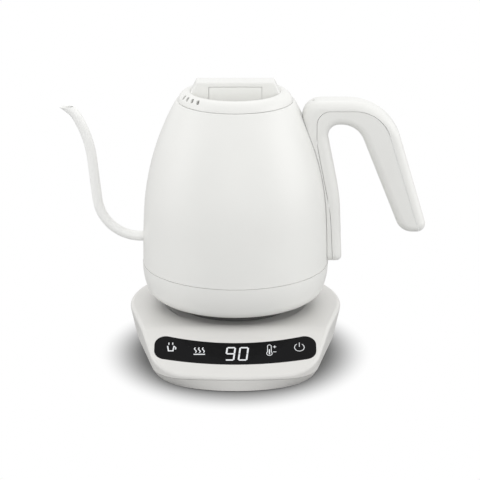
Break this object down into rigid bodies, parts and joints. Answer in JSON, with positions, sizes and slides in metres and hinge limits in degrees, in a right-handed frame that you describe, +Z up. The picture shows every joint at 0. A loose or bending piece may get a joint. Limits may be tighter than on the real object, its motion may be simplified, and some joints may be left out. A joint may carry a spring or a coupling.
{
  "type": "gooseneck kettle",
  "caption": "Electric gooseneck kettle with a slim swan-neck spout, open hook handle and pinch-release lid, standing on a power base with a sloping touch panel.",
  "frame": {"origin": "on the kettle's axis, at the level of the table under the base's feet", "axes": "+X from the kettle's axis towards the handle, -Y towards the panel at the front, +Z up; the spout points to -X"},
  "size_m": [0.301, 0.2005, 0.228],
  "materials": {
    "white_casing": "white moulded plastic, satin",
    "neck_plastic": "pale grey food-grade plastic, satin",
    "spout_paint": "white baked paint on steel tube, satin",
    "vessel_steel": "fine circular brush marks",
    "silicone": "translucent white silicone, matt",
    "foot_rubber": "dark grey rubber, matt",
    "window_black": "smoked black acrylic, polished",
    "circuit_board": "green solder mask",
    "black_plastic": "black moulded plastic, fine grain",
    "contact_foam": "conductive foam, matt",
    "heater_aluminium": "cast aluminium, dull",
    "heater_steel": "heat-darkened steel sheath",
    "contact_brass": "plain brass",
    "zinc_steel": "zinc-plated steel",
    "spring_steel": "tempered spring steel"
  },
  "bodies": {
    "power_base": {"base_top_cover": "white_casing", "base_bottom_tray": "white_casing", "rubber_feet": "foot_rubber", "base_screws": "zinc_steel", "display_window": "window_black", "display_board": "circuit_board", "digit_module": "black_plastic", "touch_pads": "contact_foam", "supply_board": "circuit_board", "supply_relay": "black_plastic", "supply_transformer": "black_plastic", "buzzer": "black_plastic", "cord_gland": "black_plastic", "base_connector": "black_plastic", "connector_contacts": "contact_brass"},
    "coupling": {"kettle_socket": "black_plastic", "socket_contacts": "contact_brass"},
    "kettle": {"outer_shell": "white_casing", "bottom_bowl": "white_casing", "bowl_screws": "zinc_steel", "inner_vessel": "vessel_steel", "vessel_carrier": "black_plastic", "heater_plate": "heater_aluminium", "heater_element": "heater_steel", "thermal_cutouts": "heater_steel", "temperature_sensor": "vessel_steel", "sensor_seal": "silicone", "socket_bracket": "zinc_steel", "neck_ring": "neck_plastic", "vessel_seal": "silicone", "spout_tube": "spout_paint", "spout_gasket": "silicone", "spout_strainer": "vessel_steel", "handle_outer_shell": "white_casing", "handle_inner_cover": "white_casing", "handle_brackets": "zinc_steel", "handle_screws": "zinc_steel"},
    "lid": {"lid_cap": "white_casing", "lid_base": "neck_plastic", "lid_seal": "silicone", "lid_screws": "zinc_steel", "front_spring": "spring_steel", "rear_spring": "spring_steel"},
    "front_pinch": {"front_button": "white_casing"},
    "rear_pinch": {"rear_button": "white_casing"}
  },
  "joints": [
    {"name": "kettle_lift", "type": "slide", "parent": "power_base", "child": "coupling", "axis": [0, 0, 1], "range_m": [0, 0.06]},
    {"name": "kettle_swivel", "type": "hinge", "parent": "coupling", "child": "kettle", "pos_m": [0, 0, 0.05], "axis": [0, 0, 1], "continuous": true},
    {"name": "lid_lift", "type": "slide", "parent": "kettle", "child": "lid", "axis": [0, 0, 1], "range_m": [0, 0.05]},
    {"name": "front_button_press", "type": "slide", "parent": "lid", "child": "front_pinch", "axis": [0, 1, 0], "range_m": [0, 0.003], "stiffness_N_per_m": 800, "deforming": ["front_spring"]},
    {"name": "rear_button_press", "type": "slide", "parent": "lid", "child": "rear_pinch", "axis": [0, -1, 0], "range_m": [0, 0.003], "stiffness_N_per_m": 800, "deforming": ["rear_spring"]}
  ]
}
